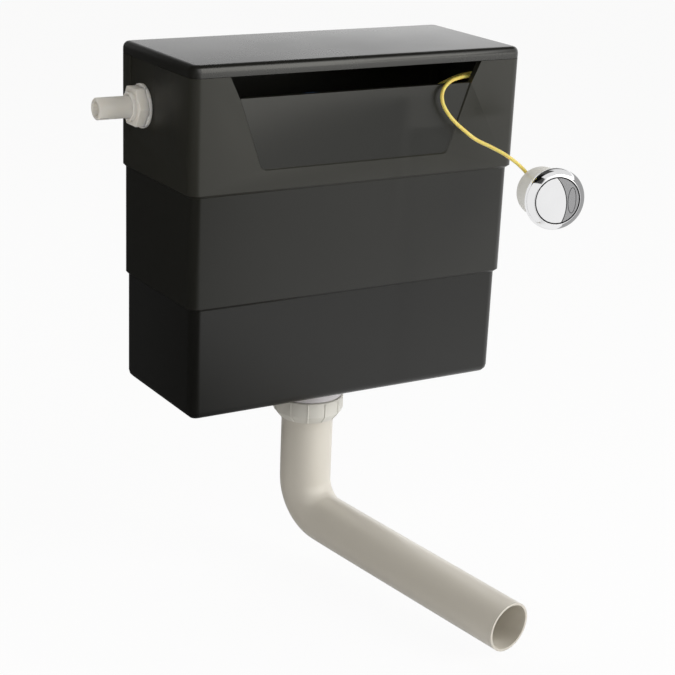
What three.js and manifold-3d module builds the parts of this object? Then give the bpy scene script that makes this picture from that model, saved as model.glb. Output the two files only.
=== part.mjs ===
// Concealed toilet cistern, in millimetres, +Z up, front towards -Y, wall plane at Y = 0.
// The origin lies on the tank's back face, midway between the two wall screws.
import * as THREE from "three";
import { mergeVertices } from "three/addons/utils/BufferGeometryUtils.js";
import Module from "manifold-3d";

const wasm = await Module();
wasm.setup();

// Clearances and cutting overrun
const seatGap = 0.3;
const runningGap = 0.5;
const overrun = 4;

// Facets round a circle, by the size of the piece
const largeSides = 32;
const mediumSides = 20;
const smallSides = 12;
const hexSides = 6;
const divideSides = 64;
const cornerSteps = 4;
const filletSteps = 3;
const domeSteps = 4;

// Tank
const tankWidth = 355.5;
const tankDepth = 151.4;
const wall = 3;
const tankCornerRadius = 9.5;
const floorFillet = 8;
const innerFillet = 5;
const lidTop = 40.8;
const lidHeight = 11.3;
const tierOneHeight = 105.6;
const tierTwoHeight = 107.2;
const tierThreeHeight = 109.9;
const tierStep = 3;
const tierDraft = 0.4;
const neckStart = 18;
const neckEnd = 24;

// Lid
const lidWall = 2.5;
const lidFillet = 1.5;
const lidFit = 0.4;
const lidRibDepth = 4;
const lidRibWidth = 1.8;
const lidRibInset = 8;
const lidCrossRibs = 3;
const lidLongRibs = 2;

// Front recess and access slot
const recessX = -4.9;
const recessDepth = 4;
const recessDraft = 1.2;
const recessBottom = -58.2;
const recessBottomHalfWidth = 101.3;
const recessCornerRadius = 7;
const slotBottom = 9.1;
const slotBottomHalfWidth = 125.1;
const slotTopHalfWidth = 135.1;

// Side pads for the inlet
const padDepth = 1.5;
const padWall = 3.2;
const padHalfWidth = 27.5;
const padBottom = -35.2;
const padRamp = 10;
const padMargin = 3;

// Wall screw keyholes
const keyholeSpacing = 240;
const keyholeHeadRadius = 7;
const keyholeSlotRadius = 3.6;
const keyholeHeight = 7;
const keyholeLength = 10;
const keyholeHeadSteps = 12;
const keyholeTopSteps = 8;

// Inlet and fill valve, turned about a line along X
const inletY = -49.2;
const inletZ = -12.5;
const tailRadius = 10.48;
const tailBoreRadius = 7;
const tailReach = 48;
const tailChamfer = 1;
const washerThickness = 2;
const inletFlangeRadius = 18;
const inletFlangeThickness = 4;
const barrelRadius = 12.5;
const barrelLength = 35.5;
const valveHeadRadius = 19.5;
const valveHeadThickness = 7;
const nozzleRadius = 3;
const nozzleLength = 12;
const channelWall = 1.8;
const diaphragmRadius = 17.5;
const diaphragmThickness = 1.8;
const capRadius = 23;
const capGripHeight = 1;
const capGripWidth = 3;
const capGrips = 12;
const capHold = 5;
const capPlate = 6.6;
const pilotRadius = 4;
const pilotBore = 1;
const pilotHeight = 3;
const earThickness = 2.5;
const earSpread = 7;
const earLength = 16;
const earHeight = 12;
const pivotDrop = 8;
const pivotReach = 11;
const pivotPinRadius = 1.9;
const pivotPinHeadRadius = 3;
const pivotPinHead = 1.5;

// Inlet back nut, outside the tank
const nutFlangeRadius = 20.8;
const nutFlangeThickness = 3.2;
const nutAcrossFlats = 35;
const nutHexThickness = 9;
const nutCollarRadius = 13.5;
const nutCollarLength = 3.5;

// Float arm and float, drawn level and turned down by the drop angle at rest
const floatDrop = THREE.MathUtils.degToRad(20);
const armHubRadius = 4.5;
const armWidth = 8;
const armThickness = 5;
const armReach = 33;
const armEyeRadius = 6;
const noseWidth = 5;
const floatRodRadius = 2;
const floatRodAbove = 14;
const floatRodBelow = 30;
const rodNutRadius = 4.5;
const rodNutHeight = 4;
const floatCupRadius = 20;
const floatCupHeight = 36;
const floatCupWall = 1.5;
const floatCupDrop = 10;
const floatHubRadius = 5;
const floatHubHeight = 16;

// Drop tube under the fill valve
const dropSetback = 17.5;
const dropTubeRadius = 6;
const dropTubeBore = 4.5;
const dropSocketRadius = 8.5;
const dropSocketLength = 14;
const dropSocketGrip = 12;
const dropTubeFloorGap = 18;

// Flush valve and outlet, turned about a vertical line
const outletX = -2.5;
const outletSetback = 1.9;
const outletY = -tankDepth / 2 + outletSetback;
const outletThreadRadius = 29.8;
const outletBoreRadius = 25;
const outletTailLength = 26.8;
const outletHoleGap = 0.7;
const baseWasherThickness = 3;
const baseWasherRadius = 41;
const baseFlangeRadius = 42;
const baseFlangeThickness = 4;
const seatRadius = 31;
const seatBore = 27;
const seatHeight = 10.3;
const cageRadius = 40;
const cageInnerRadius = 36;
const cageHeight = 40.6;
const cageRing = 5;
const cageLegs = 6;
const cageLegWidth = 5;
const cageLegInset = 0.4;
const housingRadius = 37;
const housingWall = 2;
const housingHeight = 126;
const housingShoulder = 12;
const housingRing = 4;
const guideRadius = 24;
const guideHeight = 29;
const guideLip = 6;
const guideGap = 0.6;
const windowCount = 4;
const windowWidth = 22;
const windowHeight = 92;
const windowSill = 14;

// Moving core of the flush valve
const coreRadius = 17;
const coreWall = 2;
const coreAbove = 13;
const coreFootRadius = 29;
const coreFootThickness = 3;
const coreFootCone = 4;
const sealThickness = 2.6;
const sealBore = 21;
const sealOverlap = 0.4;
const retainerReach = 2;
const retainerThickness = 2.9;
const coreFloatRadius = 30;
const coreFloatHeight = 36;
const coreFloatWall = 1.5;
const coreFloatRise = 32;
const coreLift = 18;

// Air actuator on top of the flush valve
const postWidth = 8;
const postThickness = 3;
const platformRadius = 15.5;
const platformThickness = 4;
const platformRoom = 5.7;
const yokeRingWall = 3.2;
const yokeRingHeight = 7;
const yokeRingRise = 3.2;
const yokeCapThickness = 4;
const actuatorBellowsHeight = 19.4;
const actuatorBellowsRadius = 14;
const bellowsFold = 3;
const bellowsWall = 1.2;
const bellowsFolds = 4;
const airSocketRadius = 3.2;
const airSocketReach = 32;
const airBore = 1.2;

// Outlet nuts under the tank
const backNutRadius = 34;
const backNutHeight = 19.2;
const backNutChamfer = 0.8;
const couplingRadius = 34.9;
const couplingFootRadius = 28.5;
const couplingHeight = 23.5;
const couplingStraight = 15;
const couplingRibs = 12;
const couplingRibHeight = 1.6;
const couplingRibWidth = 2.6;
const pipeWasherThickness = 3;

// Flush pipe
const pipeRadius = 26.3;
const pipeLowerRadius = 24.7;
const pipeWall = 2.3;
const pipeCollarRadius = 29.4;
const pipeCollarThickness = 3.5;
const pipeNodeDepth = 145.3;
const pipeBendRadius = 38;
const pipeLowerLength = 290;
const pipeSlope = THREE.MathUtils.degToRad(4);
const pipeTurn = THREE.MathUtils.degToRad(11.3);
const bendSteps = 8;

// Push button, turned about its own outward normal
const buttonX = 167.4;
const buttonY = -237.1;
const buttonZ = -91.2;
const buttonTurn = THREE.MathUtils.degToRad(15.7);
const buttonTilt = THREE.MathUtils.degToRad(2);
const buttonSpin = THREE.MathUtils.degToRad(9);
const bezelRadius = 30;
const bezelDepth = 9.8;
const bezelDome = 8.2;
const bezelChamfer = 0.8;
const bezelLip = 0.8;
const bezelSeatDepth = 0.6;
const wellRadius = 22.4;
const wellDepth = 7.6;
const bezelBarrelRadius = 22.2;
const bezelBarrelWall = 1.8;
const bezelBarrelLength = 17.5;
const buttonRadius = 21.8;
const buttonThickness = 2.6;
const buttonSink = 0.2;
const divideRadius = 37.7;
const divideOffset = 28.5;
const largeStemX = -6;
const largeStemRadius = 4;
const smallStemX = 13.6;
const smallStemRadius = 2.5;
const stemLength = 24;
const springWire = 0.5;
const springTurns = 5;
const springRoom = 1.6;
const springSides = 5;
const springTurnSteps = 10;
const shelfDepth = 19;
const shelfThickness = 2;
const buttonHousingWall = 2;
const housingRear = 47;
const housingRearWall = 3;
const housingRearFillet = 2.5;
const largeBellowsRadius = 11;
const smallBellowsRadius = 5.5;
const airPortRadius = 1.5;
const elbowDiscRadius = 17;
const elbowDiscThickness = 2.7;
const elbowChamberDepth = 0.9;
const elbowChamberWall = 1.6;
const elbowReach = 14;
const elbowDrop = 5.4;
const elbowLean = THREE.MathUtils.degToRad(37);

// Air tube
const airTubeRadius = 1.8;
const airTubeSides = 8;
const airTubeSteps = 60;
const airTubeStraight = 9;

// Heights and planes worked out from the driving sizes
const quarterTurn = Math.PI / 2;
const fullTurn = Math.PI * 2;
const ledge = lidTop - lidHeight;
const stepOne = ledge - tierOneHeight;
const stepTwo = stepOne - tierTwoHeight;
const tankBottom = stepTwo - tierThreeHeight;
const tankFloor = tankBottom + wall;
const lidUnderside = lidTop - lidWall;
const neckInset = lidWall + lidFit;

// Turns a three.js geometry into a solid that can be joined and cut.
function solidOf(geometry) {
  const bare = geometry.clone();
  bare.deleteAttribute("normal");
  bare.deleteAttribute("uv");
  const welded = mergeVertices(bare);
  return new wasm.Manifold(
    new wasm.Mesh({
      numProp: 3,
      vertProperties: welded.attributes.position.array,
      triVerts: new Uint32Array(welded.index.array),
    }),
  );
}

// Turns a solid back into a flat-shaded geometry.
function geometryOf(solid) {
  const mesh = solid.getMesh();
  const geometry = new THREE.BufferGeometry();
  geometry.setAttribute("position", new THREE.BufferAttribute(mesh.vertProperties, 3));
  geometry.setIndex(new THREE.BufferAttribute(mesh.triVerts, 1));
  const facets = geometry.toNonIndexed();
  facets.computeVertexNormals();
  return facets;
}

// Joins the first shape with the others.
function join(first, ...others) {
  return others.reduce((whole, other) => whole.add(solidOf(other)), solidOf(first));
}

// Cuts every cutter out of a solid.
function cut(solid, ...cutters) {
  return cutters.reduce((whole, cutter) => whole.subtract(solidOf(cutter)), solid);
}

function vector(x, y) {
  return new THREE.Vector2(x, y);
}

// Adds the flat cap of one outline, facing up or down.
function capFaces(outline, firstIndex, facesUp) {
  const faces = [];
  for (const [a, b, c] of THREE.ShapeUtils.triangulateShape(outline, [])) {
    const turn = THREE.ShapeUtils.area([outline[a], outline[b], outline[c]]);
    const upwards = turn > 0 ? [a, b, c] : [a, c, b];
    const face = facesUp ? upwards : upwards.reverse();
    faces.push(...face.map((index) => index + firstIndex));
  }
  return faces;
}

// A closed solid through counter-clockwise outlines stacked upwards along Z.
function loft(levels) {
  const count = levels[0].outline.length;
  const points = levels.flatMap(({ outline, height }) => outline.flatMap(({ x, y }) => [x, y, height]));
  const faces = [];
  for (let level = 0; level + 1 < levels.length; level += 1) {
    for (let i = 0; i < count; i += 1) {
      const here = level * count + i;
      const next = level * count + ((i + 1) % count);
      faces.push(here, next, next + count, here, next + count, here + count);
    }
  }
  faces.push(...capFaces(levels[0].outline, 0, false));
  faces.push(...capFaces(levels.at(-1).outline, (levels.length - 1) * count, true));
  const geometry = new THREE.BufferGeometry();
  geometry.setAttribute("position", new THREE.Float32BufferAttribute(points, 3));
  geometry.setIndex(faces);
  return geometry;
}

// A solid of one outline between two heights.
function prism(outline, low, high) {
  return loft([
    { outline, height: low },
    { outline, height: high },
  ]);
}

// A round arc of points, counter-clockwise for a growing angle.
function arc(centre, radius, start, end, steps) {
  const points = [];
  for (let i = 0; i <= steps; i += 1) {
    const angle = start + ((end - start) * i) / steps;
    points.push(vector(centre.x + radius * Math.cos(angle), centre.y + radius * Math.sin(angle)));
  }
  return points;
}

// A rectangle with four round corners, counter-clockwise.
function roundedRectangle(low, high, radius) {
  const corners = [
    vector(high.x - radius, low.y + radius),
    vector(high.x - radius, high.y - radius),
    vector(low.x + radius, high.y - radius),
    vector(low.x + radius, low.y + radius),
  ];
  return corners.flatMap((centre, i) =>
    arc(centre, radius, (i - 1) * quarterTurn, i * quarterTurn, cornerSteps),
  );
}

function rectangle(low, high) {
  return [vector(low.x, low.y), vector(high.x, low.y), vector(high.x, high.y), vector(low.x, high.y)];
}

// A block between two corners.
function block(low, high) {
  return prism(rectangle(low, high), low.z, high.z);
}

// A closed profile of [radius, height] turned about Z.
function turned(profile, sides) {
  const points = profile.map(([radius, height]) => vector(radius, height));
  if (THREE.ShapeUtils.area(points) < 0) points.reverse();
  points.push(points[0].clone());
  return new THREE.LatheGeometry(points, sides).rotateX(quarterTurn);
}

// A plain round bar along Z.
function bar(radius, low, high, sides) {
  return turned(
    [
      [0, low],
      [radius, low],
      [radius, high],
      [0, high],
    ],
    sides,
  );
}

// A flat ring or sleeve along Z.
function sleeve(inner, outer, low, high, sides) {
  return turned(
    [
      [inner, low],
      [outer, low],
      [outer, high],
      [inner, high],
    ],
    sides,
  );
}

// Copies of one shape set round Z.
function around(shape, count) {
  return Array.from({ length: count }, (_, i) => shape.clone().rotateZ((i * fullTurn) / count));
}

// A rubber bellows with folds along Z, closed on top and open below.
function bellows(radius, low, high, sides) {
  const outside = [];
  const inside = [];
  const pitch = (high - low) / bellowsFolds;
  for (let i = 0; i <= bellowsFolds * 2; i += 1) {
    const reach = i % 2 ? radius : radius - bellowsFold / 2;
    const height = low + (i * pitch) / 2;
    outside.push([reach, height]);
    inside.unshift([reach - bellowsWall, Math.min(height, high - bellowsWall)]);
  }
  return turned([...outside, [0, high], [0, high - bellowsWall], ...inside], sides);
}

// A helix for a coil spring's wire, round Z.
class Helix extends THREE.Curve {
  constructor(radius, low, high, turns) {
    super();
    Object.assign(this, { radius, low, high, turns });
  }
  getPoint(t, target = new THREE.Vector3()) {
    const angle = t * this.turns * fullTurn;
    const height = THREE.MathUtils.lerp(this.low, this.high, t);
    return target.set(this.radius * Math.cos(angle), this.radius * Math.sin(angle), height);
  }
}

// A round section drawn along a curve.
function drawnAlong(curve, radius, sides, steps) {
  const section = new THREE.Shape(arc(vector(0, 0), radius, 0, fullTurn, sides).slice(0, sides));
  return new THREE.ExtrudeGeometry(section, { extrudePath: curve, steps, bevelEnabled: false });
}

const part = new THREE.Group();
part.name = "concealed_cistern";

// Adds one named piece, set into its own frame.
function addPiece(name, shape, finish, frame = new THREE.Matrix4()) {
  const solid = shape.isBufferGeometry ? solidOf(shape) : shape;
  const geometry = geometryOf(solid).applyMatrix4(frame);
  const mesh = new THREE.Mesh(geometry, new THREE.MeshStandardMaterial(finish));
  mesh.name = name;
  part.add(mesh);
}

const blackPlastic = { color: 0x38373a, roughness: 0.45, metalness: 0 };
const whitePlastic = { color: 0xdedcd8, roughness: 0.4, metalness: 0 };
const palePlastic = { color: 0xd8d2c2, roughness: 0.38, metalness: 0 };
const bluePlastic = { color: 0x5f86b0, roughness: 0.45, metalness: 0 };
const rubber = { color: 0x2b2b2b, roughness: 0.85, metalness: 0 };
const chrome = { color: 0xd9dadb, roughness: 0.08, metalness: 1 };
const springSteel = { color: 0x9da0a3, roughness: 0.3, metalness: 1 };
const brass = { color: 0xb8964e, roughness: 0.35, metalness: 1 };
const yellowTube = { color: 0xe2cf6a, roughness: 0.35, metalness: 0 };

// One level of the tank's outline. The back face has no draft, because it lies on the wall.
function tankLevel(height, sideInset, backInset, radius) {
  const half = tankWidth / 2 - sideInset;
  const outline = roundedRectangle(vector(-half, -tankDepth + sideInset), vector(half, -backInset), radius);
  return { outline, height };
}

// Rings that round the bottom edge of a tank shape off.
function filletLevels(bottom, sideInset, backInset, cornerRadius, fillet) {
  const levels = [];
  for (let i = 0; i <= filletSteps; i += 1) {
    const angle = (i / filletSteps) * quarterTurn;
    const drawIn = fillet * (1 - Math.sin(angle));
    const height = bottom + fillet * (1 - Math.cos(angle));
    levels.push(tankLevel(height, sideInset + drawIn, backInset + drawIn, cornerRadius - drawIn));
  }
  return levels;
}

// Outline of the front recess, grown or shrunk all round, with X across and Z up.
function recessOutline(grow) {
  const side = vector(slotBottomHalfWidth - recessBottomHalfWidth, slotBottom - recessBottom);
  const lean = side.angle();
  const inner = recessBottomHalfWidth - recessCornerRadius * Math.tan(lean / 2);
  const centre = vector(inner, recessBottom + recessCornerRadius);
  const sideGrow = grow / Math.sin(lean);
  const right = [
    ...arc(centre, recessCornerRadius + grow, -quarterTurn, lean - quarterTurn, cornerSteps),
    vector(slotBottomHalfWidth + sideGrow, slotBottom),
    vector(slotTopHalfWidth + sideGrow, ledge),
    vector(slotTopHalfWidth + sideGrow, lidTop + overrun),
  ];
  const left = right.map(({ x, y }) => vector(-x, y)).reverse();
  return [...right, ...left].map(({ x, y }) => vector(x + recessX, y));
}

// Outline of the slot above the recess panel.
function slotOutline() {
  const right = [
    vector(slotBottomHalfWidth, slotBottom),
    vector(slotTopHalfWidth, ledge),
    vector(slotTopHalfWidth, lidTop + overrun),
  ];
  const left = right.map(({ x, y }) => vector(-x, y)).reverse();
  return [...right, ...left].map(({ x, y }) => vector(x + recessX, y));
}

// A keyhole for a wall screw, head opening below and slot above.
function keyholeOutline(x) {
  const head = vector(x, keyholeHeight);
  const top = vector(x, keyholeHeight + keyholeLength);
  const meet = Math.acos(keyholeSlotRadius / keyholeHeadRadius);
  return [
    ...arc(head, keyholeHeadRadius, Math.PI - meet, fullTurn + meet, keyholeHeadSteps),
    ...arc(top, keyholeSlotRadius, 0, Math.PI, keyholeTopSteps),
  ];
}

// Turns a shape drawn with X across and Z up, so that its height runs away from the wall.
function fromWall(geometry) {
  return geometry.rotateX(quarterTurn);
}

// Turns a shape drawn along Z to run along X, with its own X pointing down.
function alongX(geometry) {
  return geometry.rotateY(quarterTurn);
}

// A pocket or block on one side of the tank, seen from above, between two depths at the side.
function padLevel(side, height, shallow, deep, halfWidth) {
  const near = side * (tankWidth / 2 - shallow);
  const far = side * (tankWidth / 2 - deep);
  const low = vector(Math.min(near, far), inletY - halfWidth);
  const high = vector(Math.max(near, far), inletY + halfWidth);
  return { outline: rectangle(low, high), height };
}

// Outer and inner walls of the tank
const chamferShift = wall * (Math.SQRT2 - 1);
const insetTwo = tierDraft + tierStep;
const insetThree = insetTwo + tierDraft + tierStep;
const insetBottom = insetThree + tierDraft;
const cavityRadius = tankCornerRadius - wall;
const neckTop = lidUnderside - seatGap;
const tankOutside = loft([
  ...filletLevels(tankBottom, insetBottom, 0, tankCornerRadius, floorFillet),
  tankLevel(stepTwo - tierStep, insetThree, 0, tankCornerRadius),
  tankLevel(stepTwo, insetTwo + tierDraft, 0, tankCornerRadius),
  tankLevel(stepOne - tierStep, insetTwo, 0, tankCornerRadius),
  tankLevel(stepOne, tierDraft, 0, tankCornerRadius),
  tankLevel(ledge, 0, 0, tankCornerRadius),
  tankLevel(ledge, neckInset, neckInset, tankCornerRadius - neckInset),
  tankLevel(neckTop, neckInset, neckInset, tankCornerRadius - neckInset),
]);
const tankInside = loft([
  ...filletLevels(tankFloor, insetBottom + wall, wall, cavityRadius, innerFillet),
  tankLevel(stepTwo - tierStep + chamferShift, insetThree + wall, wall, cavityRadius),
  tankLevel(stepTwo + chamferShift, insetTwo + tierDraft + wall, wall, cavityRadius),
  tankLevel(stepOne - tierStep + chamferShift, insetTwo + wall, wall, cavityRadius),
  tankLevel(stepOne + chamferShift, tierDraft + wall, wall, cavityRadius),
  tankLevel(neckStart, wall, wall, cavityRadius),
  tankLevel(neckEnd, neckInset + wall, neckInset + wall, cavityRadius - neckInset),
  tankLevel(lidTop + overrun, neckInset + wall, neckInset + wall, cavityRadius - neckInset),
]);

// Thickening behind the recess and the side pads, kept out of the cavity
const recessFloor = tankDepth - recessDepth;
const recessBacking = fromWall(prism(recessOutline(wall), recessFloor - wall, tankDepth + overrun));
const padInner = tankWidth / 2 - padDepth - padWall;
function padBacking(side) {
  const half = padHalfWidth + padMargin;
  const deep = padDepth + padWall;
  return loft([
    padLevel(side, padBottom - padRamp - padMargin, -overrun, 0, half),
    padLevel(side, padBottom, -overrun, deep, half),
    padLevel(side, neckEnd, -overrun, deep, half),
  ]);
}
function padPocket(side) {
  return loft([
    padLevel(side, padBottom - padRamp, -overrun, 0, padHalfWidth),
    padLevel(side, padBottom, -overrun, padDepth, padHalfWidth),
    padLevel(side, ledge, -overrun, padDepth, padHalfWidth),
  ]);
}
const cavity = cut(solidOf(tankInside), recessBacking, padBacking(-1), padBacking(1));

// Tank
const recess = fromWall(
  loft([
    { outline: recessOutline(-recessDraft), height: recessFloor },
    { outline: recessOutline(0), height: tankDepth },
    { outline: recessOutline(0), height: tankDepth + overrun },
  ]),
);
const slot = fromWall(prism(slotOutline(), recessFloor - wall - overrun, tankDepth + overrun));
const tailHole = alongX(bar(tailRadius + runningGap + seatGap, -overrun, padWall + overrun, mediumSides));
tailHole.translate(-padInner - padWall, inletY, inletZ);
const outletHoleRadius = outletThreadRadius + outletHoleGap;
const outletHole = bar(outletHoleRadius, tankBottom - overrun, tankFloor + overrun, largeSides);
outletHole.translate(outletX, outletY, 0);
const keyholes = [-1, 1].map((side) =>
  fromWall(prism(keyholeOutline((side * keyholeSpacing) / 2), -overrun, 2 * wall + overrun)),
);
const pockets = [padPocket(-1), padPocket(1)];
const tankShell = solidOf(tankOutside).subtract(cavity);
const tank = cut(tankShell, recess, slot, tailHole, outletHole, ...keyholes, ...pockets);
addPiece("tank", tank, blackPlastic);

// Lid
const lidOutside = [tankLevel(ledge + seatGap, 0, 0, tankCornerRadius)];
for (let i = 0; i <= filletSteps; i += 1) {
  const angle = (i / filletSteps) * quarterTurn;
  const drawIn = lidFillet * (1 - Math.cos(angle));
  const height = lidTop - lidFillet * (1 - Math.sin(angle));
  lidOutside.push(tankLevel(height, drawIn, drawIn, tankCornerRadius - drawIn));
}
const lidInside = loft([
  tankLevel(ledge - overrun, lidWall, lidWall, tankCornerRadius - lidWall),
  tankLevel(lidUnderside, lidWall, lidWall, tankCornerRadius - lidWall),
]);
const lidShell = cut(solidOf(loft(lidOutside)), lidInside);
const ribHalf = vector(tankWidth / 2 - lidRibInset, tankDepth / 2 - lidRibInset);
const ribLow = lidUnderside - lidRibDepth;
const ribHigh = lidTop - lidWall / 2;
const lidRibs = [];
for (let i = 1; i <= lidCrossRibs; i += 1) {
  const x = THREE.MathUtils.lerp(-ribHalf.x, ribHalf.x, i / (lidCrossRibs + 1));
  const outline = rectangle(vector(x - lidRibWidth / 2, -ribHalf.y), vector(x + lidRibWidth / 2, ribHalf.y));
  lidRibs.push(prism(outline, ribLow, ribHigh));
}
for (let i = 1; i <= lidLongRibs; i += 1) {
  const y = THREE.MathUtils.lerp(-ribHalf.y, ribHalf.y, i / (lidLongRibs + 1));
  const outline = rectangle(vector(-ribHalf.x, y - lidRibWidth / 2), vector(ribHalf.x, y + lidRibWidth / 2));
  lidRibs.push(prism(outline, ribLow, ribHigh));
}
const lid = lidRibs.reduce((whole, rib) => whole.add(solidOf(rib.translate(0, outletY, 0))), lidShell);
addPiece("lid", lid, blackPlastic);

// Places shapes on the inlet's own line, measured inwards from the pad's inner face
const inletFrame = new THREE.Matrix4().makeRotationY(quarterTurn).setPosition(-padInner, inletY, inletZ);
const tailEnd = -padWall - tailReach;
const inletFlangeLow = seatGap + washerThickness + seatGap;
const inletFlangeTop = inletFlangeLow + inletFlangeThickness;
const valveHeadLow = inletFlangeTop + barrelLength;
const valveFace = valveHeadLow + valveHeadThickness;
const tailGrip = tailRadius + seatGap;

// Inlet back nut, its flat hexagon between a flange and a collar
const nutBack = -padWall - seatGap;
const nutHexLow = nutBack - nutFlangeThickness - nutHexThickness;
const nutHexRadius = nutAcrossFlats / 2 / Math.cos(Math.PI / hexSides);
const inletNut = cut(
  join(
    bar(nutFlangeRadius, nutBack - nutFlangeThickness, nutBack, largeSides),
    bar(nutHexRadius, nutHexLow, nutBack - nutFlangeThickness / 2, hexSides),
    bar(nutCollarRadius, nutHexLow - nutCollarLength, nutBack - nutFlangeThickness, mediumSides),
  ),
  bar(tailGrip, tailEnd, overrun, mediumSides),
);
addPiece("inlet_back_nut", inletNut, palePlastic, inletFrame);

const inletWasher = sleeve(tailGrip, inletFlangeRadius, seatGap, seatGap + washerThickness, mediumSides);
addPiece("inlet_washer", inletWasher, rubber, inletFrame);

// Fill valve body: threaded tail, flange, barrel, head, and the socket of the drop tube
const bodyShape = turned(
  [
    [0, tailEnd],
    [tailRadius - tailChamfer, tailEnd],
    [tailRadius, tailEnd + tailChamfer],
    [tailRadius, inletFlangeLow],
    [inletFlangeRadius, inletFlangeLow],
    [inletFlangeRadius, inletFlangeTop],
    [barrelRadius, inletFlangeTop],
    [barrelRadius, valveHeadLow],
    [valveHeadRadius, valveHeadLow],
    [valveHeadRadius, valveFace],
    [0, valveFace],
  ],
  mediumSides,
);
const dropAt = inletFlangeTop + dropSetback;
const dropEnd = barrelRadius + dropSocketLength;
const channelInner = tailBoreRadius + channelWall;
const channelOuter = barrelRadius - channelWall;
const channelMiddle = (channelInner + channelOuter) / 2;
const dropSocket = alongX(bar(dropSocketRadius, 0, dropEnd, mediumSides)).translate(0, 0, dropAt);
const dropGripLow = dropEnd - dropSocketGrip;
const dropGrip = alongX(bar(dropTubeRadius + seatGap, dropGripLow, dropEnd + overrun, mediumSides));
const dropPassage = alongX(bar(dropTubeBore, channelMiddle, dropEnd, smallSides));
const fillValveBody = cut(
  join(bodyShape, dropSocket),
  bar(tailBoreRadius, tailEnd - overrun, valveFace - nozzleLength, mediumSides),
  bar(nozzleRadius, 0, valveFace + overrun, smallSides),
  sleeve(channelInner, channelOuter, dropAt - dropTubeRadius, valveFace + overrun, mediumSides),
  dropGrip.translate(0, 0, dropAt),
  dropPassage.translate(0, 0, dropAt),
);
addPiece("fill_valve_body", fillValveBody, whitePlastic, inletFrame);

const diaphragmLow = valveFace + seatGap;
const diaphragmTop = diaphragmLow + diaphragmThickness;
const diaphragm = bar(diaphragmRadius, diaphragmLow, diaphragmTop, mediumSides);
addPiece("valve_diaphragm", diaphragm, rubber, inletFrame);

// Fill valve cap: gripped ring, front plate, pilot spout and the two ears of the arm
const capLow = valveFace - capHold;
const capPlateLow = diaphragmTop + seatGap;
const capFront = capPlateLow + capPlate;
const capGrip = block(
  new THREE.Vector3(valveHeadRadius + capGripHeight, -capGripWidth / 2, capLow),
  new THREE.Vector3(capRadius + capGripHeight, capGripWidth / 2, capFront),
);
const capEars = [-1, 1].map((side) => {
  const centre = side * (earSpread + earThickness / 2);
  return block(
    new THREE.Vector3(pivotDrop - earHeight / 2, centre - earThickness / 2, capFront - capPlate / 2),
    new THREE.Vector3(pivotDrop + earHeight / 2, centre + earThickness / 2, capFront + earLength),
  );
});
const pivotHeight = capFront + pivotReach;
const earOutside = earSpread + earThickness;
const earHole = bar(pivotPinRadius + seatGap, -earOutside - overrun, earOutside + overrun, smallSides)
  .rotateX(quarterTurn)
  .translate(pivotDrop, 0, pivotHeight);
const fillValveCap = cut(
  join(
    bar(capRadius, capLow, capFront, mediumSides),
    bar(pilotRadius, capFront - capPlate / 2, capFront + pilotHeight, smallSides),
    ...around(capGrip, capGrips),
    ...capEars,
  ),
  bar(valveHeadRadius + runningGap, capLow - overrun, capPlateLow, mediumSides),
  bar(pilotBore, capPlateLow - overrun, capFront + pilotHeight + overrun, smallSides),
  earHole,
);
addPiece("fill_valve_cap", fillValveCap, bluePlastic, inletFrame);

// Places shapes at the arm's pivot, dropped to its rest
const pivotX = -padInner + pivotHeight;
const pivotZ = inletZ - pivotDrop;
const armFrame = new THREE.Matrix4().makeRotationY(floatDrop).setPosition(pivotX, inletY, pivotZ);

const pinEnd = earOutside + seatGap + pivotPinHead;
const pivotPin = turned(
  [
    [0, -pinEnd],
    [pivotPinRadius, -pinEnd],
    [pivotPinRadius, earOutside + seatGap],
    [pivotPinHeadRadius, earOutside + seatGap],
    [pivotPinHeadRadius, pinEnd],
    [0, pinEnd],
  ],
  smallSides,
).rotateX(quarterTurn);
addPiece("arm_pivot_pin", pivotPin, brass, armFrame);

const hubHalf = earSpread - runningGap;
const noseReach = pivotReach - pilotHeight - seatGap;
const floatArm = cut(
  join(
    bar(armHubRadius, -hubHalf, hubHalf, mediumSides).rotateX(quarterTurn),
    block(
      new THREE.Vector3(0, -armWidth / 2, -armThickness / 2),
      new THREE.Vector3(armReach, armWidth / 2, armThickness / 2),
    ),
    bar(armEyeRadius, -armThickness / 2, armThickness / 2, mediumSides).translate(armReach, 0, 0),
    block(
      new THREE.Vector3(-noseWidth / 2, -noseWidth / 2, 0),
      new THREE.Vector3(noseWidth / 2, noseWidth / 2, pivotDrop + noseWidth / 2),
    ),
    block(
      new THREE.Vector3(-noseReach, -noseWidth / 2, pivotDrop - noseWidth / 2),
      new THREE.Vector3(0, noseWidth / 2, pivotDrop + noseWidth / 2),
    ),
  ),
  bar(pivotPinRadius + seatGap, -earOutside, earOutside, smallSides).rotateX(quarterTurn),
  bar(floatRodRadius + seatGap, -armThickness, armThickness, smallSides).translate(armReach, 0, 0),
);
addPiece("float_arm", floatArm, bluePlastic, armFrame);

const floatRod = bar(floatRodRadius, -floatRodBelow, floatRodAbove, smallSides);
addPiece("float_rod", floatRod.translate(armReach, 0, 0), whitePlastic, armFrame);

const rodGrip = floatRodRadius + seatGap;
const rodNutLow = armThickness / 2 + seatGap;
const rodNut = cut(
  solidOf(bar(rodNutRadius, rodNutLow, rodNutLow + rodNutHeight, hexSides)),
  bar(rodGrip, 0, rodNutLow + rodNutHeight + overrun, smallSides),
);
addPiece("float_rod_nut", rodNut.translate(armReach, 0, 0), bluePlastic, armFrame);

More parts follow.
